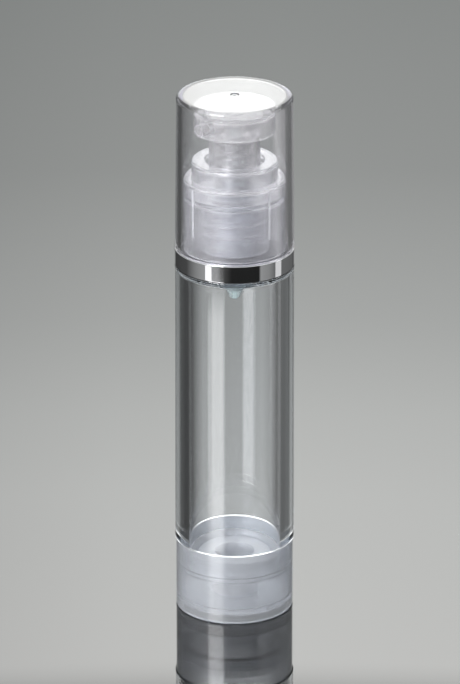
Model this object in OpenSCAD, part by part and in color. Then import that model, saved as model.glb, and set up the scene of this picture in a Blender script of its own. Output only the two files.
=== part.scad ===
// Airless pump bottle with clear overcap, round push button, screw collar,
// bright shoulder ring, thick clear body, follower piston and milky base.
// Origin: centre of the foot rim. +Z runs up the bottle, the spout points to -Y.

/* [Overall heights] */
// Height of the whole bottle with its overcap on
total_h = 151.6; // [149:0.1:158]
// Height of the base cup
base_h = 20.6; // [18:0.1:24]
// Level of the bottle's shoulder inside the bright ring
shoulder_z = 103; // [100:0.1:104]
// How far below the shoulder the bright ring starts
ring_drop = 0.65; // [0.5:0.05:0.9]
// Height of the bright ring
ring_h = 5.0; // [4:0.1:5.2]

/* [Body] */
// Outer radius of the body at its lower end
body_r_low = 16.7; // [16.3:0.05:17.4]
// Outer radius of the body at its upper end
body_r_top = 16.5; // [16.1:0.05:16.9]
// Radius of the bore in which the follower piston runs
bore_r = 12.85; // [12.4:0.05:13.4]
// Outer radius of the spigot that plugs into the base cup
spigot_r = 15.3; // [15:0.05:15.4]
// Level of the spigot's lower edge
spigot_z = 11.7; // [10.5:0.1:13]

/* [Neck and thread] */
// Inner radius of the neck
neck_bore_r = 5.9; // [5.8:0.05:6.1]
// Outer radius of the neck between the thread's turns
neck_r = 7.4; // [7.3:0.05:7.5]
// Outer radius over the thread
thread_r = 8.4; // [8.2:0.05:8.5]
// Rise of the thread in one turn
pitch = 3.175; // [3:0.025:3.2]
// Turns of thread on the neck
neck_turns = 2.9; // [2:0.1:2.9]
// Turns of thread in the collar
collar_turns = 2.6; // [1.8:0.1:2.6]
// Level of the neck's rim
neck_z = 120; // [119.9:0.05:120.1]
// Straight pieces in one turn of thread
thread_steps = 24; // [16:4:36]

/* [Ring, collar and overcap] */
// Outer radius of the bright ring
ring_r = 16.6; // [16.5:0.05:16.9]
// Outer radius of the collar's lower barrel
collar_r = 14.1; // [13.8:0.05:14.2]
// Outer radius of the collar's upper step
collar_top_r = 11.93; // [11.5:0.01:12.4]
// Radius of the hole that the head's column passes
collar_hole_r = 8.23; // [7.9:0.01:8.6]
// Number of fine ribs that hold the overcap
rib_count = 4; // [2:1:8]
// Turn of the ribs from the spout's direction, in degrees
rib_angle = 85; // [5:1:85]
// Outer radius of the overcap at its open end
cap_r_low = 16.58; // [16.4:0.01:16.8]
// Outer radius of the overcap at its top
cap_r_top = 16.1; // [15.9:0.01:16.4]

/* [Push button] */
// Outer radius of the button
head_r = 11.35; // [10.8:0.05:11.8]
// Level of the button's top at rest
head_z = 148; // [147.6:0.1:148.4]
// Height of the button's skirt
head_h = 6.4; // [6:0.1:7]
// Outer radius of the column under the button
column_r = 7.13; // [6.9:0.01:7.3]
// Reach of the spout from the bottle's axis
spout_reach = 13.4; // [12.5:0.1:13.9]
// Level of the spout's axis
spout_z = 144.6; // [143.8:0.1:144.8]

/* [Pump] */
// Outer radius of the pump's barrel
barrel_r = 5.6; // [5.5:0.05:5.65]
// Radius of the bore in which the pumping seal runs
chamber_r = 4.6; // [4.5:0.05:4.7]
// Level of the inlet nose's tip
nose_z = 92.5; // [91.8:0.1:92.6]
// Radius of the valve balls
ball_r = 1.75; // [1.7:0.01:1.78]
// Radius of the stem
stem_r = 2.9; // [2.8:0.02:2.94]

/* [Spring] */
// Radius of the spring's wire
wire_r = 0.4; // [0.3:0.05:0.45]
// Radius of the spring's coils, measured to the wire's middle
coil_r = 5; // [4.9:0.05:5.1]
// Turns of the spring
coil_turns = 9; // [6:1:10]

/* [Hidden] */
$fn = 96;

ring_low = shoulder_z - ring_drop;    // ledge that carries the bright ring
ring_z = ring_low + ring_h;          // top face of the bright ring
gap = 0.05;                          // gap between faces that meet and part
base_r = 16.45;                      // outer radius of the base cup
base_in_r = spigot_r + 0.05;         // inner radius of the base cup
floor_low = 2.2;                     // underside of the base floor
floor_top = 3.9;                     // upper side of the base floor
ceiling_z = shoulder_z - 2.7;        // underside of the bottle's shoulder
lip_z = spigot_z + 5.8;              // upper edge of the piston's top lip
flange_low = neck_z + 0.8;           // underside of the pump's flange
flange_top = flange_low + 1.4;       // upper side of the pump's flange
web_top = flange_top + 1.4;          // upper side of the collar's inner web
step_z = shoulder_z + 25.2;          // level of the collar's outer step
collar_z = shoulder_z + 30.1;        // top face of the collar
skirt_z = head_z - head_h;           // lower edge of the button's skirt
column_z = 129.6;                    // lower edge of the column
seat_z = 140.4;                      // spring's upper seat inside the column
spring_low = flange_top + 1.0;       // spring's lower seat on the bushing
cap_in_top = total_h - 0.95;         // inner face of the overcap's top
inlet_ball_z = nose_z + 4.41;        // middle of the inlet ball at rest
stem_top = 141.2;                    // top of the stem
outlet_ball_z = stem_top + 0.62;     // middle of the outlet ball at rest
thread_z = shoulder_z + 6.1;         // middle of the neck thread's lower end

clear_col = [0.86, 0.89, 0.92, 0.35];
milky_col = [0.80, 0.82, 0.86, 0.80];
white_col = [0.90, 0.91, 0.93, 0.90];
bright_col = [0.72, 0.73, 0.75];
steel_col = [0.62, 0.63, 0.65];
glass_col = [0.70, 0.80, 0.80, 0.60];

// ---- helpers ---------------------------------------------------------

// Turns an outline of [radius, height] points about the bottle's axis.
module turned(points) rotate_extrude() polygon(points);

// Points of a quarter round from angle a to b, about centre c, radius r.
function arc(c, r, a, b, n = 6) =
    [for (i = [0:n]) [c[0] + r * cos(a + (b - a) * i / n),
                      c[1] + r * sin(a + (b - a) * i / n)]];

// A closed sweep: rings of equal point count joined one to the next,
// with flat ends.
module sweep(rings) {
    n = len(rings);
    m = len(rings[0]);
    points = [for (ring = rings) each ring];
    sides = [for (i = [0:n - 2], j = [0:m - 1])
        each [[i * m + j, (i + 1) * m + j, (i + 1) * m + (j + 1) % m],
              [i * m + j, (i + 1) * m + (j + 1) % m, i * m + (j + 1) % m]]];
    first = [[for (j = [0:m - 1]) j]];
    last = [[for (j = [m - 1:-1:0]) (n - 1) * m + j]];
    polyhedron(points = points, faces = concat(sides, first, last), convexity = 8);
}

// One ring of a thread: a trapezoid between two radii, at angle a and
// height z, with root width w0 and crest width w1.
function thread_ring(a, z, r0, r1, w0, w1) =
    [for (q = r1 > r0 ? [[r0, w0], [r1, w1], [r1, -w1], [r0, -w0]]
                      : [[r1, -w1], [r1, w1], [r0, w0], [r0, -w0]])
        [q[0] * cos(a), q[0] * sin(a), z + q[1] / 2]];

// A thread of the given turns that starts at height z0. Its ends fade
// into the wall over a few steps.
module thread(z0, turns, r_root, r_crest, w0, w1, start = 0) {
    n = round(turns * thread_steps);
    sweep([for (i = [0:n])
        let (fade = min(1, (i + 0.6) / 3, (n - i + 0.6) / 3),
             r1 = r_root + (r_crest - r_root) * (0.3 + 0.7 * fade))
        thread_ring(start + i * 360 / thread_steps,
                    z0 + i * pitch / thread_steps, r_root, r1,
                    w0, w1 + (w0 - w1) * (1 - fade) * 0.5)]);
}

// ---- bottle ----------------------------------------------------------

// Clear body: thick wall, spigot below, shoulder, locating rim and neck.
module bottle_body() {
    color(clear_col) union() {
        turned(concat(
            [[bore_r + 0.35, spigot_z], [spigot_r - 0.4, spigot_z],
             [spigot_r, spigot_z + 0.6], [spigot_r, spigot_z + 1.8],
             [spigot_r + 0.2, spigot_z + 2.1], [spigot_r + 0.2, spigot_z + 2.5],
             [spigot_r, spigot_z + 2.8],
             [spigot_r, base_h], [body_r_low - 0.1, base_h],
             [body_r_low, base_h + 0.1]],
            [[body_r_top, shoulder_z - 1.6], [body_r_top + 0.1, shoulder_z - 1.4],
             [body_r_top + 0.1, ring_low - 0.35]],
            arc([body_r_top - 0.2, ring_low - 0.3], 0.3, 10, 90, 5),
            [[15.2, ring_low], [15.2, ring_z - 1.25],
             [13.7, ring_z - 1.25], [13.7, shoulder_z + 0.4],
             [neck_r + 1.4, shoulder_z + 0.4], [neck_r, shoulder_z + 1.8],
             [neck_r, neck_z - 0.3], [neck_r - 0.3, neck_z],
             [neck_bore_r + 0.2, neck_z], [neck_bore_r, neck_z - 0.2],
             [neck_bore_r, ceiling_z]],
            [[bore_r - 0.3, ceiling_z]],
            arc([bore_r - 0.3, ceiling_z - 0.3], 0.3, 75, 0, 4),
            [[bore_r, spigot_z + 0.6]]));
        thread(thread_z, neck_turns, neck_r - 0.25, thread_r, 2.0, 0.9);
    }
}

// Bright ring: a cap-shaped channel over the locating rim.
module shoulder_ring() {
    color(bright_col) turned([
        [15.25, ring_low + gap], [ring_r - 0.15, ring_low + gap],
        [ring_r, ring_low + 0.2], [ring_r, ring_z - 0.15],
        [ring_r - 0.15, ring_z], [8.75, ring_z], [8.75, ring_z - 1.2],
        [15.25, ring_z - 1.2]]);
}

// Base cup: wall, floor with an air vent, foot rim and snap groove.
module base_cap() {
    color(milky_col) difference() {
        turned(concat(
            [[base_in_r, floor_top],
             [base_in_r, spigot_z + 1.7], [base_in_r + 0.2, spigot_z + 2.0],
             [base_in_r + 0.2, spigot_z + 2.6], [base_in_r, spigot_z + 2.9],
             [base_in_r, base_h - gap], [base_r - 0.3, base_h - gap],
             [base_r, base_h - gap - 0.3]],
            arc([base_r - 0.5, 0.5], 0.5, 0, -80, 5),
            [[15.2, 0], [14.3, 0], [14.0, floor_low], [0, floor_low],
             [0, floor_top]]));
        // air vent, so that the piston can rise
        translate([9, 0, -1]) cylinder(r = 0.75, h = 8, $fn = 32);
        translate([-9, 0, -1]) cylinder(r = 0.75, h = 8, $fn = 32);
    }
}

// Follower piston: plate with a groove behind its lip, double wiper skirt
// and central well.
module follower_piston() {
    lip_r = bore_r - 0.05;
    plate = lip_z - 1.1;
    color(white_col) turned([
        [0, floor_top + gap], [5.9, floor_top + gap], [6.3, floor_top + 0.45],
        [6.3, plate - 1.2], [9.3, plate - 1.2], [9.3, lip_z - 4.1],
        [11.3, lip_z - 4.1],
        [11.9, spigot_z + 0.2], [lip_r - 0.15, spigot_z + 0.1],
        [lip_r, spigot_z + 0.35], [lip_r, spigot_z + 0.9],
        [12.35, spigot_z + 2.0], [12.35, lip_z - 1.9],
        [lip_r, lip_z - 0.8], [lip_r, lip_z - 0.25], [lip_r - 0.25, lip_z],
        [12.2, lip_z], [11.75, lip_z - 1.6], [11.65, lip_z - 2.9],
        [11.5, lip_z - 3.1], [10.5, lip_z - 3.1], [10.3, lip_z - 2.9],
        [10.3, plate - 0.3], [10.0, plate], [5.7, plate],
        [5.4, plate - 0.3], [5.4, floor_top + 1.6], [5.1, floor_top + 1.3],
        [0, floor_top + 1.3]]);
}

// ---- closure ---------------------------------------------------------

// Screw collar: stepped outer barrel, inner web that clamps the pump's
// flange, inner skirt with the thread, and the ribs that hold the overcap.
module screw_collar() {
    low = ring_z + gap;
    web_low = flange_top + gap;
    color(white_col) union() {
        turned(concat(
            [[13.0, low], [collar_r - 0.2, low], [collar_r, low + 0.2]],
            arc([collar_r - 0.5, step_z - 0.5], 0.5, 0, 90, 5),
            [[collar_top_r, step_z]],
            arc([collar_top_r - 0.5, collar_z - 0.5], 0.5, 0, 90, 5),
            arc([collar_hole_r + 0.3, collar_z - 0.3], 0.3, 90, 180, 4),
            [[collar_hole_r, collar_z - 1.2], [10.8, collar_z - 1.2],
             [10.8, step_z - 1.2], [13.0, step_z - 1.2], [13.0, web_top],
             [7.0, web_top], [7.0, web_low], [thread_r + 0.15, web_low],
             [thread_r + 0.15, low + 0.3], [9.9, low + 0.3],
             [9.9, web_low], [13.0, web_low]]));
        thread(thread_z + pitch / 2, collar_turns, thread_r + 0.4,
               neck_r + 0.25, 2.0, 0.9);
        for (i = [0:rib_count - 1])
            rotate([0, 0, -90 + rib_angle + i * 360 / rib_count])
                translate([collar_r - 0.3, -0.25, step_z - 14.9])
                    cube([0.65, 0.5, 13.9]);
    }
}

// Overcap: clear tapered cup with a flat top and a small gate mark.
module overcap() {
    low = ring_z + gap;
    color(clear_col) union() {
        turned(concat(
            [[0, total_h - 0.1], [0.35, total_h - 0.25],
             [0.9, total_h - 0.22], [1.4, total_h],
             [cap_r_top - 1.1, total_h]],
            arc([cap_r_top - 1.1, total_h - 1.1], 1.1, 80, 0, 6),
            [[cap_r_low, low + 0.2], [cap_r_low - 0.2, low],
             [14.95, low], [14.8, low + 0.15], [14.52, cap_in_top - 0.5]],
            arc([14.02, cap_in_top - 0.5], 0.5, 10, 90, 5),
            [[0, cap_in_top]]));
    }
}

// ---- pump ------------------------------------------------------------

// Pump housing: flange, barrel, conical bottom with ball seat, and nose.
module pump_housing() {
    n = nose_z;
    color(white_col) difference() {
        turned(concat(
            [[chamber_r, flange_top], [8.2, flange_top], [8.2, flange_low],
             [barrel_r, flange_low], [barrel_r, n + 9.2],
             [3.4, n + 5.4], [3.2, n + 3.8], [2.6, n + 3.0],
             [2.45, n + 2.6], [1.4, n + 0.5], [1.2, n + 0.15], [1.0, n],
             [0.75, n], [0.75, n + 2.6], [1.2, n + 3.1], [2.2, n + 4.2],
             [2.2, n + 6.25],
             [1.6, n + 6.25], [1.6, n + 6.65], [2.4, n + 6.65],
             [chamber_r, n + 10.2]]));
        // passages past the ball, through the rim that keeps it in
        for (a = [0, 90])
            rotate([0, 0, a]) translate([-2.1, -0.5, n + 6.2])
                cube([4.2, 1.0, 0.5]);
    }
}

// Guide bushing: plug in the barrel, flange, and guide tube for the stem.
module guide_bushing() {
    color(white_col) turned([
        [stem_r + 0.05, flange_top - 4.6], [chamber_r, flange_top - 4.6],
        [chamber_r, flange_top], [6.6, flange_top], [6.6, spring_low],
        [4.1, spring_low], [4.1, 129.2], [3.9, 129.4],
        [stem_r + 0.35, 129.4], [stem_r + 0.05, 129.1]]);
}

// Flat washer between the neck's rim and the pump's flange.
module neck_gasket() {
    color([0.93, 0.93, 0.90]) turned([
        [barrel_r + 0.02, neck_z + 0.02], [7.9, neck_z + 0.02],
        [7.9, flange_low], [barrel_r + 0.02, flange_low]]);
}

// Compression spring: closed end turns and open turns between them.
module return_spring() {
    steps = 14;
    n = coil_turns * steps;
    low = spring_low + wire_r + 0.02;
    high = seat_z - wire_r - 0.02;
    closed = 2.1 * wire_r;
    // height of the wire's middle after t turns
    function rise(t) =
        t < 1 ? low + closed * t
        : t > coil_turns - 1 ? high - closed * (coil_turns - t)
        : low + closed + (high - low - 2 * closed) * (t - 1) / (coil_turns - 2);
    color(steel_col) sweep([for (i = [0:n])
        let (t = i / steps, a = 360 * t)
        [for (k = [7:-1:0]) let (b = 45 * k, r = coil_r + wire_r * cos(b))
            [r * cos(a), r * sin(a), rise(t) + wire_r * sin(b)]]]);
}

// Pumping seal: sleeve with an upper and a lower lip.
module piston_seal() {
    lip = chamber_r - 0.04;
    z0 = 110.6;
    color([0.93, 0.93, 0.90]) turned([
        [2.35, z0 + 0.6], [2.9, z0 + 0.6], [3.9, z0], [lip, z0],
        [lip, z0 + 0.7], [3.8, z0 + 1.5], [3.8, z0 + 3.9],
        [lip, z0 + 4.7], [lip, z0 + 5.4], [3.9, z0 + 5.4],
        [3.0, z0 + 4.6], [2.35, z0 + 4.6]]);
}

// Piston rod: plugs into the stem, carries the seal, with side ports.
module piston_rod() {
    color(white_col) difference() {
        turned([
            [0, 108.6], [2.9, 108.6], [3.3, 109.2], [3.3, 110.4],
            [2.9, 111.0], [2.3, 111.0], [2.3, 115.4], [1.7, 115.6],
            [1.7, 121], [1.1, 121], [1.1, 109.3], [0, 109.3]]);
        for (a = [0, 90])
            rotate([0, 0, a]) translate([0, 0, 109.95])
                rotate([90, 0, 0]) cylinder(r = 0.55, h = 12, center = true, $fn = 24);
    }
}

// Hollow stem with the outlet ball's seat at its top.
module pump_stem() {
    color(white_col) turned([
        [1.7, 115.7], [stem_r, 115.7], [stem_r, stem_top - 0.3],
        [stem_r - 0.3, stem_top], [2.1, stem_top], [1.2, stem_top - 1.0],
        [1.2, 121.1], [1.7, 121.1]]);
}

// Push button: skirt, column, stem socket, spring seat and outlet duct.
module actuator_head() {
    top_in = head_z - 1.2;
    color(white_col) difference() {
        union() {
            turned(concat(
                [[0, head_z], [head_r - 0.7, head_z]],
                arc([head_r - 0.7, head_z - 0.7], 0.7, 80, 0, 5),
                [[head_r, skirt_z + 0.15], [head_r - 0.15, skirt_z],
                 [head_r - 1.0, skirt_z], [head_r - 1.1, skirt_z + 0.1],
                 [head_r - 1.1, top_in], [column_r, top_in],
                 [column_r, column_z + 0.3], [column_r - 0.3, column_z],
                 [6.2, column_z], [6.1, column_z + 0.1], [6.1, seat_z],
                 [4.05, seat_z], [4.05, 135.6], [3.85, 135.4],
                 [stem_r + 0.2, 135.4], [stem_r, 135.6], [stem_r, stem_top],
                 [2.1, stem_top], [2.1, stem_top + 3.2], [0, stem_top + 3.2]]));
            // boss around the outlet duct, out to the skirt
            translate([0, 0, spout_z]) rotate([90, 0, 0])
                cylinder(r = 2.75, h = head_r - 0.6, $fn = 64);
        }
        // ball chamber
        translate([0, 0, stem_top]) cylinder(r = 2.1, h = 3.2, $fn = 64);
        // outlet duct and the socket for the spout
        translate([0, 0, spout_z]) rotate([90, 0, 0])
            cylinder(r = 1.2, h = 16, $fn = 48);
        translate([0, -5.2, spout_z]) rotate([90, 0, 0])
            cylinder(r = 1.85, h = 12, $fn = 64);
    }
}

// Spout tube, pressed into the button's side.
module nozzle_insert() {
    color(white_col) translate([0, -5.2, spout_z]) rotate([90, 0, 0])
        rotate_extrude($fn = 64) polygon([
            [1.2, 0], [1.85, 0], [1.85, spout_reach - 5.4],
            [1.7, spout_reach - 5.2], [1.4, spout_reach - 5.2],
            [1.25, spout_reach - 5.35], [1.2, spout_reach - 6]]);
}

// Check balls.
module inlet_ball() {
    color(glass_col) translate([0, 0, inlet_ball_z]) sphere(r = ball_r, $fn = 48);
}

module outlet_ball() {
    color(glass_col) translate([0, 0, outlet_ball_z]) sphere(r = ball_r, $fn = 48);
}

bottle_body();
shoulder_ring();
base_cap();
follower_piston();
screw_collar();
overcap();
pump_housing();
guide_bushing();
neck_gasket();
return_spring();
piston_seal();
piston_rod();
pump_stem();
actuator_head();
nozzle_insert();
inlet_ball();
outlet_ball();
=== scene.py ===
import math

import bmesh
import bpy
from mathutils import Matrix, Vector


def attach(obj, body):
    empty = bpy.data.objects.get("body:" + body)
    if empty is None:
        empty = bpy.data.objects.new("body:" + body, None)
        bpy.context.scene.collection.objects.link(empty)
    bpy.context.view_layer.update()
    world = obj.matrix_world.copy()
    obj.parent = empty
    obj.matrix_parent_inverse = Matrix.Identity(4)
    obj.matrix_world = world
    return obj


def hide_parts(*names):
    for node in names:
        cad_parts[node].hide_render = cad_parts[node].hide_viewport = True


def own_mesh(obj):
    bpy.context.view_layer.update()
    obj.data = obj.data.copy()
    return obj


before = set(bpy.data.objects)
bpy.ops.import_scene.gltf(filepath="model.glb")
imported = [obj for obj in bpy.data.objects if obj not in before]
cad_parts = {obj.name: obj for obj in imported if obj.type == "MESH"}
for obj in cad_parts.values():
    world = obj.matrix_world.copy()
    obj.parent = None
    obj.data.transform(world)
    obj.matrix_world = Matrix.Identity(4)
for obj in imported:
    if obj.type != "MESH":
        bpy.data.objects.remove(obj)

MM = 0.001
TAU = 2 * math.pi


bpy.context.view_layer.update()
scene = bpy.context.scene

# ------------------------------------------------------------ dimensions
# All in millimetres, as the construction has them.
RING_LOW, RING_TOP = 102.35, 107.35
GAP = 0.05
PITCH = 3.175
THREAD_Z = 109.1
SPOUT_Z = 144.6


# ------------------------------------------------------------ mesh helpers
def rounded(points, step=11.0):
    """An outline of (r, z, fillet, tag) corners, with each corner rounded and a support point beside it.

    Returns [(r, z, tag)], where tag belongs to the stretch that follows. The outline is closed unless it starts and ends on the axis.
    """
    pts = [(p[0], p[1], p[2] if len(p) > 2 else 0.0, p[3] if len(p) > 3 else None) for p in points]
    on_axis = pts[0][0] == 0 and pts[-1][0] == 0
    n = len(pts)
    out = []
    for i, (r, z, f, tag) in enumerate(pts):
        ends = on_axis and i in (0, n - 1)
        if ends or f <= 0:
            out.append((r, z, tag))
            continue
        before, after = pts[i - 1], pts[(i + 1) % n]
        here = Vector((r, z))
        a = Vector((before[0], before[1])) - here
        b = Vector((after[0], after[1])) - here
        la, lb = a.length, b.length
        a.normalize()
        b.normalize()
        turn = math.pi - a.angle(b)
        if turn < math.radians(2):
            out.append((r, z, tag))
            continue
        # a fillet takes at most its share of each side
        cut = min(f * math.tan(turn / 2), 0.49 * la, 0.49 * lb)
        radius = cut / math.tan(turn / 2)
        middle = (a + b).normalized() * (radius / math.cos(turn / 2))
        centre = here + middle
        start, stop = here + a * cut, here + b * cut
        count = max(3, round(math.degrees(turn) / step))
        support = min(0.35 * radius + 0.02, 0.45 * (la - cut), 0.45 * (lb - cut))
        if support > 0.004:
            p = here + a * (cut + support)
            out.append((p.x, p.y, pts[i - 1][3]))
        u, v = start - centre, stop - centre
        sweep = u.angle(v)
        for k in range(count + 1):
            t = k / count
            w = (u * math.sin((1 - t) * sweep) + v * math.sin(t * sweep)) / math.sin(sweep)
            p = centre + w
            out.append((p.x, p.y, tag if k == count else None))
        if support > 0.004:
            p = here + b * (cut + support)
            out.append((p.x, p.y, tag))
    return out, on_axis


def lathe(name, points, turns=224, bumps=None, extra=(), axis=None, step=11.0):
    """A closed solid of revolution with rounded corners.

    bumps maps a tag to (function(angle, r, z) -> change of radius, spacing in mm). extra lists more angles, in radians, where a bump needs them.
    """
    line, on_axis = rounded(points, step)
    rows = []
    count = len(line)
    for i, (r, z, tag) in enumerate(line):
        rows.append((r, z, None))
        if on_axis and i == count - 1:
            break
        r2, z2, _ = line[(i + 1) % count]
        length = math.hypot(r2 - r, z2 - z)
        if tag and bumps and tag in bumps:
            rows[-1] = (r, z, tag)
            pieces = max(1, int(length / bumps[tag][1]))
            for k in range(1, pieces):
                t = k / pieces
                rows.append((r + (r2 - r) * t, z + (z2 - z) * t, tag))
    angles = sorted({round(TAU * k / turns, 7) for k in range(turns)} | {round(a % TAU, 7) for a in extra})
    clean = [angles[0]]
    for a in angles[1:]:
        if a - clean[-1] > 1e-4:
            clean.append(a)
    angles = clean
    bm = bmesh.new()
    grid = []
    for r, z, tag in rows:
        if r < 1e-6:
            grid.append([bm.verts.new((0, 0, z * MM))])
            continue
        ring = []
        for a in angles:
            rr = r + (bumps[tag][0](a, r, z) if tag else 0.0)
            ring.append(bm.verts.new((rr * math.cos(a) * MM, rr * math.sin(a) * MM, z * MM)))
        grid.append(ring)
    m = len(angles)
    pairs = list(zip(grid, grid[1:]))
    if not on_axis:
        pairs.append((grid[-1], grid[0]))
    for low, high in pairs:
        for j in range(m):
            k = (j + 1) % m
            if len(low) == 1 and len(high) == 1:
                continue
            if len(low) == 1:
                bm.faces.new((low[0], high[j], high[k]))
            elif len(high) == 1:
                bm.faces.new((low[j], high[0], low[k]))
            else:
                bm.faces.new((low[j], high[j], high[k], low[k]))
    bmesh.ops.recalc_face_normals(bm, faces=bm.faces)
    if axis is not None:
        bmesh.ops.transform(bm, matrix=axis, verts=bm.verts)
    return finish_mesh(name, bm)


def finish_mesh(name, bm, sharp=38.0):
    me = bpy.data.meshes.new(name)
    bm.to_mesh(me)
    bm.free()
    for p in me.polygons:
        p.use_smooth = True
    me.set_sharp_from_angle(angle=math.radians(sharp))
    ob = bpy.data.objects.new(name, me)
    scene.collection.objects.link(ob)
    return ob


def rod_mesh(radius, y0, y1, z, turns=96):
    """A plain round rod along Y, used only to cut or join shapes."""
    bm = bmesh.new()
    rings = []
    for y in (y0, y1):
        rings.append([bm.verts.new((radius * math.cos(TAU * k / turns) * MM, y * MM,
                                    (z + radius * math.sin(TAU * k / turns)) * MM)) for k in range(turns)])
    for j in range(turns):
        k = (j + 1) % turns
        bm.faces.new((rings[0][j], rings[0][k], rings[1][k], rings[1][j]))
    bm.faces.new(rings[0][::-1])
    bm.faces.new(rings[1])
    bmesh.ops.recalc_face_normals(bm, faces=bm.faces)
    return finish_mesh("cutter", bm)


def boolean(ob, tool, how):
    """Applies a boolean and removes the tool."""
    mod = ob.modifiers.new("b", "BOOLEAN")
    mod.operation = how
    mod.solver = "EXACT"
    mod.object = tool
    dg = bpy.context.evaluated_depsgraph_get()
    dg.update()
    me = bpy.data.meshes.new_from_object(ob.evaluated_get(dg))
    ob.modifiers.clear()
    old = ob.data
    ob.data = me
    bpy.data.meshes.remove(old)
    bpy.data.objects.remove(tool)
    for p in me.polygons:
        p.use_smooth = True
    me.set_sharp_from_angle(angle=math.radians(30))
    me.name = ob.name


def thread_bump(z0, turns, width_root, width_crest, height):
    """A right-hand thread as a change of radius, for a wall whose stretch is finely divided."""
    def bump(a, r, z):
        t = (z - z0) / PITCH - a / TAU
        k = round(t)
        along = a / TAU + k
        for k2 in (k - 1, k, k + 1):
            if -0.001 <= a / TAU + k2 <= turns + 0.001 and abs(t - k2) * PITCH < width_root:
                k, along = k2, a / TAU + k2
                break
        else:
            return 0.0
        d = abs(t - k) * PITCH
        if d >= width_root:
            return 0.0
        s = 1.0 if d <= width_crest else (width_root - d) / (width_root - width_crest)
        s = s * s * (3 - 2 * s)
        fade = min(1.0, along * 24 / 3 + 0.2, (turns - along) * 24 / 3 + 0.2)
        return height * s * max(0.0, fade)
    return bump


# ------------------------------------------------------------ materials
def nodes_of(name):
    mat = bpy.data.materials.new(name)
    mat.use_nodes = True
    nt = mat.node_tree
    nt.nodes.clear()
    out = nt.nodes.new("ShaderNodeOutputMaterial")
    return mat, nt, out


def noise(nt, scale, detail=3.0, rough=0.5, stretch=None):
    """A noise pattern in the piece's own coordinates, in metres."""
    co = nt.nodes.new("ShaderNodeTexCoord")
    mp = nt.nodes.new("ShaderNodeMapping")
    if stretch:
        mp.inputs["Scale"].default_value = stretch
    nt.links.new(co.outputs["Object"], mp.inputs["Vector"])
    no = nt.nodes.new("ShaderNodeTexNoise")
    no.inputs["Scale"].default_value = scale
    no.inputs["Detail"].default_value = detail
    no.inputs["Roughness"].default_value = rough
    nt.links.new(mp.outputs["Vector"], no.inputs["Vector"])
    return no


def spread(nt, source, low, high, at=(0.3, 0.7)):
    """Maps a pattern's range to low..high."""
    mr = nt.nodes.new("ShaderNodeMapRange")
    mr.inputs["From Min"].default_value, mr.inputs["From Max"].default_value = at
    mr.inputs["To Min"].default_value, mr.inputs["To Max"].default_value = low, high
    nt.links.new(source, mr.inputs["Value"])
    return mr.outputs["Result"]


def tint(nt, source, low, high):
    ramp = nt.nodes.new("ShaderNodeValToRGB")
    ramp.color_ramp.elements[0].position, ramp.color_ramp.elements[1].position = 0.3, 0.7
    ramp.color_ramp.elements[0].color = (*low, 1)
    ramp.color_ramp.elements[1].color = (*high, 1)
    nt.links.new(source, ramp.inputs["Fac"])
    return ramp.outputs["Color"]


def bumped(nt, p, source, strength, distance):
    b = nt.nodes.new("ShaderNodeBump")
    b.inputs["Strength"].default_value = strength
    b.inputs["Distance"].default_value = distance
    nt.links.new(source, b.inputs["Height"])
    nt.links.new(b.outputs["Normal"], p.inputs["Normal"])


def lamps_pass(nt, shader, out, color):
    """Lets lamp light through to what is inside."""
    lp = nt.nodes.new("ShaderNodeLightPath")
    tr = nt.nodes.new("ShaderNodeBsdfTransparent")
    tr.inputs["Color"].default_value = (*color, 1)
    mix = nt.nodes.new("ShaderNodeMixShader")
    nt.links.new(lp.outputs["Is Shadow Ray"], mix.inputs["Fac"])
    nt.links.new(shader, mix.inputs[1])
    nt.links.new(tr.outputs["BSDF"], mix.inputs[2])
    nt.links.new(mix.outputs["Shader"], out.inputs["Surface"])


def clear_plastic(name, low, high, ior=1.57, density=3.0, absorb=(0.72, 0.78, 0.92), bump=0.03, rough=(0.0, 0.01), through=1.0, body_rough=0.0):
    """Polished clear moulding: faint flow waves, a slightly uneven gloss and a cool body colour in thick places."""
    mat, nt, out = nodes_of(name)
    p = nt.nodes.new("ShaderNodeBsdfPrincipled")
    p.inputs["Transmission Weight"].default_value = through
    p.inputs["Diffuse Roughness"].default_value = body_rough
    p.inputs["IOR"].default_value = ior
    flow = noise(nt, 60.0, 2.0, 0.4, (1, 1, 0.35))
    nt.links.new(tint(nt, flow.outputs["Fac"], low, high), p.inputs["Base Color"])
    fine = noise(nt, 700.0, 2.0)
    nt.links.new(spread(nt, fine.outputs["Fac"], *rough), p.inputs["Roughness"])
    bumped(nt, p, flow.outputs["Fac"], bump, 0.0003)
    lamps_pass(nt, p.outputs["BSDF"], out, (0.90, 0.91, 0.93))
    if density:
        va = nt.nodes.new("ShaderNodeVolumeAbsorption")
        va.inputs["Color"].default_value = (*absorb, 1)
        va.inputs["Density"].default_value = density
        nt.links.new(va.outputs["Volume"], out.inputs["Volume"])
    return mat


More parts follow.
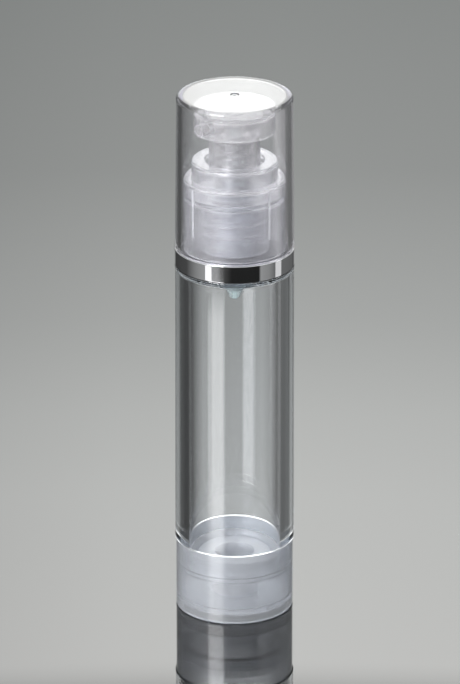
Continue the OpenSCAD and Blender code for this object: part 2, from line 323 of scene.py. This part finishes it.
def milky_plastic(name, low, high, through=0.93, rough=(0.13, 0.19), ior=1.49, shade=(0.80, 0.82, 0.86), skin=1.0, skin_rough=0.03, height_tone=None, highlight_crest=None):
    """Natural polyolefin: hazy, partly see-through, under a glossy skin with faint flow marks.

    height_tone is (first level, second level, colour), in metres: from the first level on, away from the second, the
    colour takes over, fading out by the second level. On the button it is painted shade on the top disc; on the pump it
    gives the nose a darker, greener colour.
    highlight_crest is a pair of radii, in metres: what stands out past them lets less light through and looks whiter, a
    painted highlight on the rib tops.
    """
    mat, nt, out = nodes_of(name)
    p = nt.nodes.new("ShaderNodeBsdfPrincipled")
    p.inputs["Transmission Weight"].default_value = through
    p.inputs["IOR"].default_value = ior
    p.inputs["Coat Weight"].default_value = skin
    p.inputs["Coat Roughness"].default_value = skin_rough
    p.inputs["Coat IOR"].default_value = 1.5
    cloud = noise(nt, 70.0, 3.0, 0.5, (1, 1, 0.6))
    color = tint(nt, cloud.outputs["Fac"], low, high)
    # height_tone: a colour laid on by height; on the button it is painted shade
    if height_tone:
        co = nt.nodes.new("ShaderNodeTexCoord")
        sep = nt.nodes.new("ShaderNodeSeparateXYZ")
        nt.links.new(co.outputs["Object"], sep.inputs[0])
        mix = nt.nodes.new("ShaderNodeMix")
        mix.data_type = "RGBA"
        mix.inputs["A"].default_value = (*height_tone[2], 1)
        nt.links.new(spread(nt, sep.outputs["Z"], 0.0, 1.0, height_tone[:2]), mix.inputs["Factor"])
        nt.links.new(color, mix.inputs["B"])
        color = mix.outputs["Result"]
    nt.links.new(color, p.inputs["Base Color"])
    # painted highlight: the rib tops are made whiter by letting less light through them
    if highlight_crest:
        co = nt.nodes.new("ShaderNodeTexCoord")
        flat = nt.nodes.new("ShaderNodeVectorMath")
        flat.operation = "MULTIPLY"
        flat.inputs[1].default_value = (1, 1, 0)
        nt.links.new(co.outputs["Object"], flat.inputs[0])
        away = nt.nodes.new("ShaderNodeVectorMath")
        away.operation = "LENGTH"
        nt.links.new(flat.outputs["Vector"], away.inputs[0])
        nt.links.new(spread(nt, away.outputs["Value"], through, 0.62, highlight_crest), p.inputs["Transmission Weight"])
    fine = noise(nt, 420.0, 3.0)
    nt.links.new(spread(nt, fine.outputs["Fac"], *rough), p.inputs["Roughness"])
    bumped(nt, p, fine.outputs["Fac"], 0.03, 0.0002)
    lamps_pass(nt, p.outputs["BSDF"], out, shade)
    return mat


def bright_metal(name):
    """Metallised plastic: mirror bright outside, with the faint waves of the moulding under the film and hair-fine wipe
    marks.

    Faces that look up or down are painted near black and made duller: painted shade, set by the way each face turns.
    """
    mat, nt, out = nodes_of(name)
    p = nt.nodes.new("ShaderNodeBsdfPrincipled")
    p.inputs["Metallic"].default_value = 1.0
    wave = noise(nt, 55.0, 2.0, 0.5, (1, 1, 0.3))
    hair = noise(nt, 2500.0, 2.0, 0.6, (1, 1, 6))
    geo = nt.nodes.new("ShaderNodeNewGeometry")
    sep = nt.nodes.new("ShaderNodeSeparateXYZ")
    nt.links.new(geo.outputs["Normal"], sep.inputs[0])
    flat = nt.nodes.new("ShaderNodeMath")
    flat.operation = "ABSOLUTE"
    nt.links.new(sep.outputs["Z"], flat.inputs[0])
    # painted shade: faces turned up or down take the dark colour
    shadow = spread(nt, flat.outputs[0], 0.0, 1.0, (0.9, 0.97))
    mix = nt.nodes.new("ShaderNodeMix")
    mix.data_type = "RGBA"
    nt.links.new(shadow, mix.inputs["Factor"])
    nt.links.new(tint(nt, wave.outputs["Fac"], (0.78, 0.78, 0.80), (0.85, 0.85, 0.86)), mix.inputs["A"])
    nt.links.new(tint(nt, hair.outputs["Fac"], (0.12, 0.12, 0.13), (0.18, 0.18, 0.19)), mix.inputs["B"])
    nt.links.new(mix.outputs["Result"], p.inputs["Base Color"])
    gloss = nt.nodes.new("ShaderNodeMix")
    gloss.data_type = "FLOAT"
    nt.links.new(shadow, gloss.inputs["Factor"])
    nt.links.new(spread(nt, hair.outputs["Fac"], 0.01, 0.04), gloss.inputs["A"])
    nt.links.new(spread(nt, hair.outputs["Fac"], 0.35, 0.5), gloss.inputs["B"])
    nt.links.new(gloss.outputs["Result"], p.inputs["Roughness"])
    bumped(nt, p, wave.outputs["Fac"], 0.05, 0.0006)
    nt.links.new(p.outputs["BSDF"], out.inputs["Surface"])
    return mat


def wire_metal(name):
    """Drawn stainless wire: fine lines along the wire and an uneven grey."""
    mat, nt, out = nodes_of(name)
    p = nt.nodes.new("ShaderNodeBsdfPrincipled")
    p.inputs["Metallic"].default_value = 1.0
    hair = noise(nt, 1800.0, 4.0, 0.6, (1, 1, 5))
    nt.links.new(tint(nt, hair.outputs["Fac"], (0.50, 0.50, 0.51), (0.66, 0.66, 0.67)), p.inputs["Base Color"])
    nt.links.new(spread(nt, hair.outputs["Fac"], 0.18, 0.34), p.inputs["Roughness"])
    nt.links.new(p.outputs["BSDF"], out.inputs["Surface"])
    return mat


def floor_material(name, low, high, rough, ior, far=(1.05, 1.9), far_color=(0.50, 0.505, 0.50)):
    """A polished acrylic sheet round the bottle, which turns into matte pale card further out."""
    mat, nt, out = nodes_of(name)
    p = nt.nodes.new("ShaderNodeBsdfPrincipled")
    p.inputs["IOR"].default_value = ior
    mott = noise(nt, 9.0, 4.0, 0.6)
    co = nt.nodes.new("ShaderNodeTexCoord")
    flat = nt.nodes.new("ShaderNodeVectorMath")
    flat.operation = "MULTIPLY"
    flat.inputs[1].default_value = (1, 1, 0)
    nt.links.new(co.outputs["Object"], flat.inputs[0])
    away = nt.nodes.new("ShaderNodeVectorMath")
    away.operation = "LENGTH"
    nt.links.new(flat.outputs["Vector"], away.inputs[0])
    card = spread(nt, away.outputs["Value"], 0.0, 1.0, far)
    mix = nt.nodes.new("ShaderNodeMix")
    mix.data_type = "RGBA"
    nt.links.new(card, mix.inputs["Factor"])
    nt.links.new(tint(nt, mott.outputs["Fac"], low, high), mix.inputs["A"])
    mix.inputs["B"].default_value = (*far_color, 1)
    nt.links.new(mix.outputs["Result"], p.inputs["Base Color"])
    gloss = nt.nodes.new("ShaderNodeMix")
    gloss.data_type = "FLOAT"
    nt.links.new(card, gloss.inputs["Factor"])
    nt.links.new(spread(nt, mott.outputs["Fac"], *rough), gloss.inputs["A"])
    gloss.inputs["B"].default_value = 0.9
    nt.links.new(gloss.outputs["Result"], p.inputs["Roughness"])
    nt.links.new(p.outputs["BSDF"], out.inputs["Surface"])
    return mat


M_BODY = clear_plastic("clear_body", (0.97, 0.975, 0.985), (0.985, 0.99, 0.995), density=12.0, absorb=(0.62, 0.77, 0.90))
M_CAP = clear_plastic("clear_cap", (0.98, 0.98, 0.99), (0.99, 0.99, 0.995), density=13.0, absorb=(0.72, 0.69, 0.97), through=0.992, body_rough=0.3)
M_RING = bright_metal("bright_ring")
M_BASE = milky_plastic("milky_base", (0.72, 0.735, 0.77), (0.76, 0.775, 0.80), through=0.80, rough=(0.19, 0.24), skin=0.8, shade=(0.80, 0.81, 0.83))
# the collar's rib tops get a painted highlight (highlight_crest)
M_COLLAR = milky_plastic("natural_collar", (0.92, 0.915, 0.93), (0.95, 0.945, 0.955), through=0.93, rough=(0.18, 0.23), skin=0.35, skin_rough=0.08, shade=(0.83, 0.825, 0.84), highlight_crest=(0.01413, 0.0143))
# the button's top disc is painted darker: painted shade (height_tone)
M_BUTTON = milky_plastic("natural_button", (0.89, 0.88, 0.885), (0.92, 0.91, 0.91), through=0.93, rough=(0.19, 0.24), skin=0.15, skin_rough=0.1, shade=(0.83, 0.825, 0.83), height_tone=(0.1479, 0.1473, (0.70, 0.695, 0.70)))
# height_tone here gives the nose, below 97 mm, a darker, greener colour that fades out by 112 mm
M_PUMP = milky_plastic("natural_pump", (0.90, 0.92, 0.91), (0.94, 0.95, 0.945), through=0.78, rough=(0.22, 0.28), skin=0.2, skin_rough=0.1, height_tone=(0.097, 0.112, (0.66, 0.73, 0.72)))
M_PISTON = milky_plastic("natural_piston", (0.71, 0.705, 0.71), (0.75, 0.745, 0.745), through=0.82, rough=(0.28, 0.34), skin=0.0)
M_SEAL = milky_plastic("soft_seal", (0.88, 0.88, 0.85), (0.93, 0.93, 0.90), through=0.3, skin=0.0)
M_WIRE = wire_metal("spring_steel")
M_GLASS = clear_plastic("valve_glass", (0.90, 0.95, 0.93), (0.94, 0.97, 0.96), ior=1.52, density=0.0)


def place(ob, mat, body, node):
    """Gives a piece its finish and the body it rides on, and hides the CAD node it stands in for."""
    ob.data.materials.clear()
    ob.data.materials.append(mat)
    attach(ob, body)
    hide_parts(node)
    return ob


# ------------------------------------------------------------ bottle
body = lathe("bottle_body_shell", [
    (13.2, 11.7, 0.1), (15.3, 11.7, 0.5), (15.3, 13.5, 0.05), (15.5, 13.8, 0.08),
    (15.5, 14.2, 0.08), (15.3, 14.5, 0.05), (15.3, 20.6, 0.08), (16.7, 20.6, 0.1),
    (16.5, 101.4, 0.3), (16.6, 101.62, 0.1), (16.6, 102.35, 0.3), (15.2, 102.35, 0.1),
    (15.2, 106.1, 0.12), (13.7, 106.1, 0.12), (13.7, 103.4, 0.25), (7.4, 103.4, 1.4, None),
    (7.4, 107.0, 0.0, "thread"), (7.4, 119.6, 0.0, None), (7.4, 120.0, 0.3), (5.9, 120.0, 0.2), (5.9, 100.3, 0.15),
    (12.85, 100.3, 0.3), (12.85, 12.3, 0.1)],
    turns=240,
    bumps={"thread": (thread_bump(THREAD_Z, 2.9, 0.89, 0.45, 1.0), 0.11)})
place(body, M_BODY, "bottle", "bottle_body")

ring = lathe("shoulder_ring_shell", [
    (15.25, RING_LOW + GAP, 0.05), (16.6, RING_LOW + GAP, 0.16), (16.6, RING_TOP, 0.18),
    (8.75, RING_TOP, 0.12), (8.75, 106.15, 0.08), (15.25, 106.15, 0.1)], turns=288)
place(ring, M_RING, "bottle", "shoulder_ring")

base = lathe("base_cap_shell", [
    (0, 3.9), (15.35, 3.9, 0.5), (15.35, 13.4, 0.05), (15.55, 13.7, 0.08),
    (15.55, 14.3, 0.08), (15.35, 14.6, 0.05), (15.35, 20.55, 0.12), (16.45, 20.55, 0.28),
    (16.45, 0, 0.5), (14.3, 0, 0.2), (14.0, 2.2, 0.3), (0, 2.2)], turns=224)
for x in (9.0, -9.0):
    bm = bmesh.new()
    rings = [[bm.verts.new(((x + 0.75 * math.cos(TAU * k / 32)) * MM, 0.75 * math.sin(TAU * k / 32) * MM, z * MM))
              for k in range(32)] for z in (0.5, 5.5)]
    for j in range(32):
        bm.faces.new((rings[0][j], rings[0][(j + 1) % 32], rings[1][(j + 1) % 32], rings[1][j]))
    bm.faces.new(rings[0][::-1])
    bm.faces.new(rings[1])
    bmesh.ops.recalc_face_normals(bm, faces=bm.faces)
    boolean(base, finish_mesh("cutter", bm), "DIFFERENCE")
place(base, M_BASE, "bottle", "base_cap")

piston = lathe("follower_piston_shell", [
    (0, 3.95), (6.3, 3.95, 0.45), (6.3, 15.2, 0.4), (9.3, 15.2, 0.3), (9.3, 13.4, 0.3), (11.35, 13.4, 0.15),
    (11.9, 11.9, 0.15), (12.8, 11.8, 0.25), (12.8, 12.6, 0.3), (12.35, 13.7, 0.4), (12.35, 15.6, 0.4),
    (12.8, 16.7, 0.3), (12.8, 17.5, 0.22), (12.2, 17.5, 0.12), (11.7, 15.6, 0.6), (11.6, 14.4, 0.35),
    (10.3, 14.4, 0.35), (10.3, 16.4, 0.25), (5.4, 16.4, 0.3),
    (5.4, 5.2, 0.4), (0, 5.2)], turns=192)
place(piston, M_PISTON, "follower", "follower_piston")


# ------------------------------------------------------------ collar
RIB_Z = (113.3, 127.2)
RIBS = [math.radians(-90 + 85 + 90 * k) for k in range(4)]


def rib_bump(a, r, z):
    """Four fine upright ribs with rounded tops."""
    end = min((z - RIB_Z[0]) / 0.35, (RIB_Z[1] - z) / 0.35)
    if end <= 0:
        return 0.0
    for c in RIBS:
        d = abs((a - c + math.pi) % TAU - math.pi) * 14.1
        if d < 0.34:
            side = 1.0 if d < 0.14 else (0.34 - d) / 0.20
            return 0.35 * math.sqrt(max(0.0, min(1.0, side))) * math.sqrt(min(1.0, end))
    return 0.0


rib_angles = [c + s * w / 14.1 for c in RIBS for s in (-1, 1)
              for w in (0.0, 0.07, 0.14, 0.18, 0.22, 0.26, 0.29, 0.32, 0.34, 0.4)]
collar = lathe("screw_collar_shell", [
    (13.0, 107.4, 0.1), (14.1, 107.4, 0.2, None), (14.1, 112.6, 0.0, "ribs"), (14.1, 127.5, 0.0, None),
    (14.1, 128.2, 0.5), (11.93, 128.2, 0.15),
    (11.93, 133.1, 0.5), (8.23, 133.1, 0.3), (8.23, 131.9, 0.15), (10.8, 131.9, 0.3), (10.8, 127.0, 0.15),
    (13.0, 127.0, 0.3), (13.0, 123.6, 0.3), (7.0, 123.6, 0.15), (7.0, 122.25, 0.1), (8.55, 122.25, 0.1, None),
    (8.55, 121.8, 0.0, "thread"), (8.55, 108.6, 0.0, None),
    (8.55, 107.7, 0.15), (9.9, 107.7, 0.15), (9.9, 122.25, 0.3), (13.0, 122.25, 0.3)],
    turns=224, extra=rib_angles,
    bumps={"ribs": (rib_bump, 0.2),
           "thread": (thread_bump(THREAD_Z + PITCH / 2, 2.6, 0.88, 0.45, -0.9), 0.13)})
place(collar, M_COLLAR, "collar", "screw_collar")

# ------------------------------------------------------------ overcap
cap = lathe("overcap_shell", [
    (0, 151.5), (0.35, 151.35, 0.08), (0.9, 151.38, 0.1), (1.4, 151.6, 0.08), (16.1, 151.6, 1.15),
    (16.58, 107.4, 0.2), (14.9, 107.4, 0.12), (14.52, 150.65, 0.5), (0, 150.65)], turns=288)
place(cap, M_CAP, "cap", "overcap")

# ------------------------------------------------------------ pump
n = 92.5
housing = lathe("pump_housing_shell", [
    (4.6, 122.2, 0.1), (8.2, 122.2, 0.12), (8.2, 120.8, 0.12), (5.6, 120.8, 0.2), (5.6, n + 9.2, 0.5),
    (3.4, n + 5.4, 0.4), (3.2, n + 3.8, 0.4), (2.5, n + 2.75, 0.4), (1.3, n + 0.3, 0.35), (1.0, n, 0.1),
    (0.75, n, 0.08), (0.75, n + 2.6, 0.15), (1.2, n + 3.1, 0.1), (2.2, n + 4.2, 0.2), (2.2, n + 6.25, 0.08),
    (1.6, n + 6.25, 0.08), (1.6, n + 6.65, 0.08), (2.4, n + 6.65, 0.1), (4.6, n + 10.2, 0.4)], turns=128)
place(housing, M_PUMP, "pump", "pump_housing")

bushing = lathe("guide_bushing_shell", [
    (2.95, 117.6, 0.15), (4.6, 117.6, 0.2), (4.6, 122.2, 0.03), (6.6, 122.2, 0.05), (6.6, 123.2, 0.15),
    (4.1, 123.2, 0.2), (4.1, 129.4, 0.25), (2.95, 129.4, 0.3)], turns=96)
place(bushing, M_PUMP, "pump", "guide_bushing")

gasket = lathe("neck_gasket_washer", [
    (5.62, 120.02, 0.08), (7.9, 120.02, 0.12), (7.9, 120.8, 0.12), (5.62, 120.8, 0.08)], turns=96)
place(gasket, M_SEAL, "pump", "neck_gasket")

seal = lathe("piston_seal_cup", [
    (2.35, 111.2, 0.1), (2.9, 111.2, 0.15), (3.9, 110.6, 0.1), (4.56, 110.6, 0.12), (4.56, 111.3, 0.15),
    (3.8, 112.1, 0.3), (3.8, 114.5, 0.3), (4.56, 115.3, 0.15), (4.56, 116.0, 0.12), (3.9, 116.0, 0.1),
    (3.0, 115.2, 0.2), (2.35, 115.2, 0.1)], turns=96)
place(seal, M_SEAL, "plunger", "piston_seal")

rod = lathe("piston_rod_plug", [
    (0, 108.6), (2.9, 108.6, 0.15), (3.3, 109.2, 0.1), (3.3, 110.4, 0.15), (2.9, 111.0, 0.1),
    (2.3, 111.0, 0.15), (2.3, 115.4, 0.15), (1.7, 115.6, 0.05), (1.7, 121.0, 0.1), (1.1, 121.0, 0.1),
    (1.1, 109.3, 0.2), (0, 109.3)], turns=72)
boolean(rod, rod_mesh(0.55, -6, 6, 109.95, 32), "DIFFERENCE")
place(rod, M_PUMP, "button", "piston_rod")

stem = lathe("pump_stem_tube", [
    (1.7, 115.7, 0.1), (2.9, 115.7, 0.15), (2.9, 141.2, 0.3), (2.1, 141.2, 0.1), (1.2, 140.2, 0.1),
    (1.2, 121.1, 0.1), (1.7, 121.1, 0.05)], turns=96)
place(stem, M_PUMP, "button", "pump_stem")

# spring: closed end turns, open turns between
spring_low, spring_high, wire, coil, coils = 123.2 + 0.42, 140.4 - 0.42, 0.4, 5.0, 9.0
bm = bmesh.new()
steps, sides = 44, 14
total = int(coils * steps)


def rise(t):
    closed = 2.1 * wire
    if t < 1:
        return spring_low + closed * t
    if t > coils - 1:
        return spring_high - closed * (coils - t)
    return spring_low + closed + (spring_high - spring_low - 2 * closed) * (t - 1) / (coils - 2)


rings = []
for i in range(total + 1):
    t = i / steps
    a = TAU * t
    slim = 1.0 if 2 < i < total - 2 else 0.85 if 0 < i < total else 0.6
    rings.append([bm.verts.new(((coil + wire * slim * math.cos(b)) * math.cos(a) * MM,
                                (coil + wire * slim * math.cos(b)) * math.sin(a) * MM,
                                (rise(t) + wire * slim * math.sin(b)) * MM))
                  for b in (TAU * k / sides for k in range(sides))])
for r0, r1 in zip(rings, rings[1:]):
    for j in range(sides):
        k = (j + 1) % sides
        bm.faces.new((r0[j], r0[k], r1[k], r1[j]))
bm.faces.new(rings[0][::-1])
bm.faces.new(rings[-1])
bmesh.ops.recalc_face_normals(bm, faces=bm.faces)
spring = finish_mesh("return_spring_wire", bm)
place(spring, M_WIRE, "pump", "return_spring")
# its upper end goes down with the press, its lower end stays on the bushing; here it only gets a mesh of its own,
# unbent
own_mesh(spring)

# ------------------------------------------------------------ push button
head = lathe("actuator_head_shell", [
    (0, 148.0), (11.35, 148.0, 0.7), (11.35, 141.6, 0.2), (10.25, 141.6, 0.12), (10.25, 146.8, 0.4),
    (7.13, 146.8, 0.3), (7.13, 129.6, 0.3), (6.1, 129.6, 0.12), (6.1, 140.4, 0.3), (4.05, 140.4, 0.3),
    (4.05, 135.4, 0.2), (2.9, 135.4, 0.15), (2.9, 141.2, 0.0), (2.1, 141.2, 0.0), (2.1, 144.4, 0.3), (0, 144.4)],
    turns=192)
boolean(head, rod_mesh(2.75, -2.6, -10.8, SPOUT_Z, 72), "UNION")
boolean(head, rod_mesh(1.2, 0.4, -6.0, SPOUT_Z, 48), "DIFFERENCE")
boolean(head, rod_mesh(1.85, -5.2, -14.0, SPOUT_Z, 72), "DIFFERENCE")
place(head, M_BUTTON, "button", "actuator_head")

along_y = Matrix.Translation((0, -5.2 * MM, SPOUT_Z * MM)) @ Matrix.Rotation(math.radians(90), 4, "X")
spout = lathe("nozzle_insert_tube", [
    (1.2, 0.0, 0.05), (1.84, 0.0, 0.08), (1.84, 8.2, 0.28), (1.2, 8.2, 0.2)], turns=96, axis=along_y)
place(spout, M_BUTTON, "button", "nozzle_insert")

for name in ("inlet_ball", "outlet_ball"):
    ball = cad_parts[name]
    ball.data.materials.clear()
    ball.data.materials.append(M_GLASS)

# ------------------------------------------------------------ stage
LOW = -0.00008      # the foot rim keeps a hair of air under it
SWEEP = [(0.0, LOW)] + [(r, LOW) for r in (0.05, 0.15, 0.4, 1.0, 2.0, 2.9)] + \
    [(2.9 + 0.5 * math.sin(math.radians(a)), LOW + 0.5 - 0.5 * math.cos(math.radians(a))) for a in range(8, 81, 8)]
bm = bmesh.new()
grid = []
for r, z in SWEEP:
    grid.append([bm.verts.new((0, 0, z))] if r == 0 else
                [bm.verts.new((r * math.cos(TAU * k / 96), r * math.sin(TAU * k / 96), z)) for k in range(96)])
for low, high in zip(grid, grid[1:]):
    for j in range(96):
        k = (j + 1) % 96
        if len(low) == 1:
            bm.faces.new((low[0], high[j], high[k]))
        else:
            bm.faces.new((low[j], high[j], high[k], low[k]))
bmesh.ops.recalc_face_normals(bm, faces=bm.faces)
floor = finish_mesh("studio_floor", bm)
if floor.data.polygons[0].normal.z < 0:
    floor.data.flip_normals()
floor.data.materials.append(floor_material("floor_pale", (0.004, 0.0042, 0.004), (0.006, 0.0063, 0.006), (0.015, 0.03), 1.8))

# ------------------------------------------------------------ light
# Directions are told from the bottle: turn is the angle round from the camera, positive to its left.
CAM_AZ = math.radians(45.0)
OUT = Vector((math.sin(CAM_AZ), -math.cos(CAM_AZ), 0))
RIGHT = Vector((math.cos(CAM_AZ), math.sin(CAM_AZ), 0))

world = bpy.data.worlds.new("studio")
scene.world = world
world.use_nodes = True
nt = world.node_tree
nt.nodes.clear()
w_out = nt.nodes.new("ShaderNodeOutputWorld")
co = nt.nodes.new("ShaderNodeTexCoord")


def w_math(op, a, b=None):
    n = nt.nodes.new("ShaderNodeMath")
    n.operation = op
    for i, v in enumerate((a, b)):
        if v is None:
            continue
        if isinstance(v, (int, float)):
            n.inputs[i].default_value = v
        else:
            nt.links.new(v, n.inputs[i])
    return n.outputs[0]


def w_dot(vec):
    n = nt.nodes.new("ShaderNodeVectorMath")
    n.operation = "DOT_PRODUCT"
    n.inputs[1].default_value = vec
    nt.links.new(co.outputs["Generated"], n.inputs[0])
    return n.outputs["Value"]


def w_ramp(source, stops, low, high):
    """Brightness against an angle in degrees, as straight steps between stops."""
    mr = nt.nodes.new("ShaderNodeMapRange")
    mr.inputs["From Min"].default_value, mr.inputs["From Max"].default_value = math.radians(low), math.radians(high)
    nt.links.new(source, mr.inputs["Value"])
    ramp = nt.nodes.new("ShaderNodeValToRGB")
    els = ramp.color_ramp.elements
    top = max(v for _, v in stops)
    for i, (a, v) in enumerate(stops):
        pos = (a - low) / (high - low)
        e = els[i] if i < 2 else els.new(pos)
        e.position = pos
        e.color = (v / top, v / top, v / top, 1)
    nt.links.new(mr.outputs["Result"], ramp.inputs["Fac"])
    return w_math("MULTIPLY", ramp.outputs["Color"], top)


turn = w_math("ARCTAN2", w_dot(-RIGHT), w_dot(OUT))
height = w_math("ARCSINE", w_dot((0, 0, 1)))
side = w_ramp(turn, [(-180, 0.45), (-135, 0.6), (-110, 0.7), (-84, 0.75), (-70, 1.3), (-52, 1.6), (-48, 0.05),
                     (6, 0.05), (18, 0.25), (27, 0.75), (34, 1.7), (50, 1.9), (65, 1.6), (80, 1.2), (105, 0.3), (150, 0.2), (180, 0.45)], -180, 180)
window = w_ramp(height, [(-90, 0.0), (18.0, 0.0), (19.0, 1.0), (32, 1.0), (42, 0.3), (90, 0.3)], -90, 90)
plain = w_ramp(height, [(-90, 0.3), (-8, 0.9), (0, 1.1), (17.6, 1.1), (18.8, 0.0), (34, 0.1), (50, 1.0), (90, 1.0)], -90, 90)
total_light = w_math("ADD", w_math("MULTIPLY", side, window), plain)
bg = nt.nodes.new("ShaderNodeBackground")
bg.inputs["Color"].default_value = (0.985, 1.0, 0.995, 1)
nt.links.new(total_light, bg.inputs["Strength"])
nt.links.new(bg.outputs["Background"], w_out.inputs["Surface"])


def glow_panel(name, distance, turn0, turn1, z0, z1, strength, up, across, low_color=(1, 1, 1), high_color=(1, 1, 1)):
    """An upright curved light panel round the bottle, unseen by the camera.

    up and across are (position, brightness) stops over its height and its width, each from 0 to 1.
    """
    bm = bmesh.new()
    uv = bm.loops.layers.uv.new("UVMap")
    cols = max(6, int((turn1 - turn0) / 2))
    pts = []
    for k in range(cols + 1):
        t = k / cols
        a = math.radians(turn0 + (turn1 - turn0) * t)
        d = (OUT * math.cos(a) - RIGHT * math.sin(a)) * distance
        pts.append((t, bm.verts.new((d.x, d.y, z0)), bm.verts.new((d.x, d.y, z1))))
    for (ta, a0, a1), (tb, b0, b1) in zip(pts, pts[1:]):
        f = bm.faces.new((a0, b0, b1, a1))
        for loop, c in zip(f.loops, ((ta, 0), (tb, 0), (tb, 1), (ta, 1))):
            loop[uv].uv = c
    ob = finish_mesh(name, bm)
    mat, mt, out = nodes_of(name + "_glow")
    em = mt.nodes.new("ShaderNodeEmission")
    tc = mt.nodes.new("ShaderNodeTexCoord")
    sp = mt.nodes.new("ShaderNodeSeparateXYZ")
    mt.links.new(tc.outputs["UV"], sp.inputs[0])

    def stops(source, values, colors):
        ramp = mt.nodes.new("ShaderNodeValToRGB")
        els = ramp.color_ramp.elements
        for i, (pos, v) in enumerate(values):
            e = els[i] if i < 2 else els.new(pos)
            e.position = pos
            e.color = (*(v * (a + (b - a) * min(1.0, 1.67 * pos)) for a, b in zip(*colors)), 1)
        mt.links.new(source, ramp.inputs["Fac"])
        return ramp.outputs["Color"]

    mixer = mt.nodes.new("ShaderNodeMix")
    mixer.data_type = "RGBA"
    mixer.blend_type = "MULTIPLY"
    mixer.inputs["Factor"].default_value = 1.0
    mt.links.new(stops(sp.outputs["Y"], up, (low_color, high_color)), mixer.inputs["A"])
    mt.links.new(stops(sp.outputs["X"], across, ((1, 1, 1), (1, 1, 1))), mixer.inputs["B"])
    mt.links.new(mixer.outputs["Result"], em.inputs["Color"])
    em.inputs["Strength"].default_value = strength
    mt.links.new(em.outputs["Emission"], out.inputs["Surface"])
    ob.data.materials.append(mat)
    ob.visible_camera = False
    ob.visible_shadow = False
    return ob


# the backdrop behind the bottle, brighter the higher up, fading at both sides
glow_panel("backdrop", 1.0, 180 - 30, 180 + 30, 0.0, 1.5, 3.5,
           [(0.0, 0.20), (0.102, 0.31), (0.156, 0.39), (0.204, 0.55), (0.234, 0.69), (0.261, 0.78), (0.318, 0.89), (0.3258, 0.62), (0.36, 0.54), (1.0, 0.54)],
           [(0.0, 0.06), (0.06, 0.16), (0.15, 0.40), (0.3, 0.74), (0.45, 0.96), (0.52, 1.0), (0.66, 0.96), (0.73, 0.85), (0.82, 0.5), (1.0, 0.08)],
           (0.97, 1.03, 1.01), (1.03, 0.985, 0.96))
# a brighter patch low down at its right, which the overcap's wall bends into view
glow_panel("backdrop_right", 0.98, 187, 208, 0.12, 0.285, 1.8, [(0.0, 0.7), (0.6, 1.0), (0.9, 1.0), (1.0, 0.85)],
           [(0.0, 0.8), (0.2, 1.0), (0.5, 1.0), (0.7, 0.4), (1.0, 0.1)])
# the soft box to the left of the camera
glow_panel("soft_box", 1.0, 21, 53, 0.279, 0.62, 16.0,
           [(0.0, 0.3), (0.03, 1.0), (0.9, 1.0), (1.0, 0.3)],
           [(0.0, 0.5), (0.12, 1.0), (0.88, 1.0), (1.0, 0.7)])
glow_panel("soft_box_foot", 1.02, 45, 58, 0.25, 0.285, 7.0, [(0.0, 0.6), (1.0, 1.0)], [(0.0, 1.0), (1.0, 1.0)])
# a small white card at the right
glow_panel("side_card", 1.1, -101, -85, 0.2, 0.45, 3.6, [(0.0, 1.0), (1.0, 1.0)], [(0.0, 1.0), (1.0, 1.0)])

# ------------------------------------------------------------ camera
CAM_PITCH = math.radians(21.6)
CAM_D, CAM_H, FOCAL_PX = 1.640, 0.728, 6340.0
cam_data = bpy.data.cameras.new("camera")
cam = bpy.data.objects.new("camera", cam_data)
scene.collection.objects.link(cam)
cam_data.sensor_fit = "AUTO"
cam_data.sensor_width = 36.0
cam_data.lens = 36.0 * FOCAL_PX / 684.0
cam_data.clip_start, cam_data.clip_end = 0.05, 20.0
cam.location = OUT * CAM_D + Vector((0, 0, CAM_H))
look = -OUT * math.cos(CAM_PITCH) - Vector((0, 0, math.sin(CAM_PITCH))) - RIGHT * (4.6 / FOCAL_PX)
cam.rotation_mode = "QUATERNION"
cam.rotation_quaternion = look.to_track_quat("-Z", "Y")
scene.camera = cam

# ------------------------------------------------------------ look of the picture
scene.view_settings.view_transform = "Standard"
scene.view_settings.look = "None"
scene.cycles.use_denoising = True
scene.cycles.max_bounces = 20
scene.cycles.transmission_bounces = 18
scene.cycles.transparent_max_bounces = 20
scene.cycles.glossy_bounces = 12
scene.cycles.diffuse_bounces = 6
scene.cycles.caustics_refractive = True
scene.cycles.caustics_reflective = True
scene.cycles.sample_clamp_indirect = 8.0
scene.cycles.use_adaptive_sampling = True
scene.cycles.adaptive_threshold = 0.03
scene.cycles.adaptive_min_samples = 48
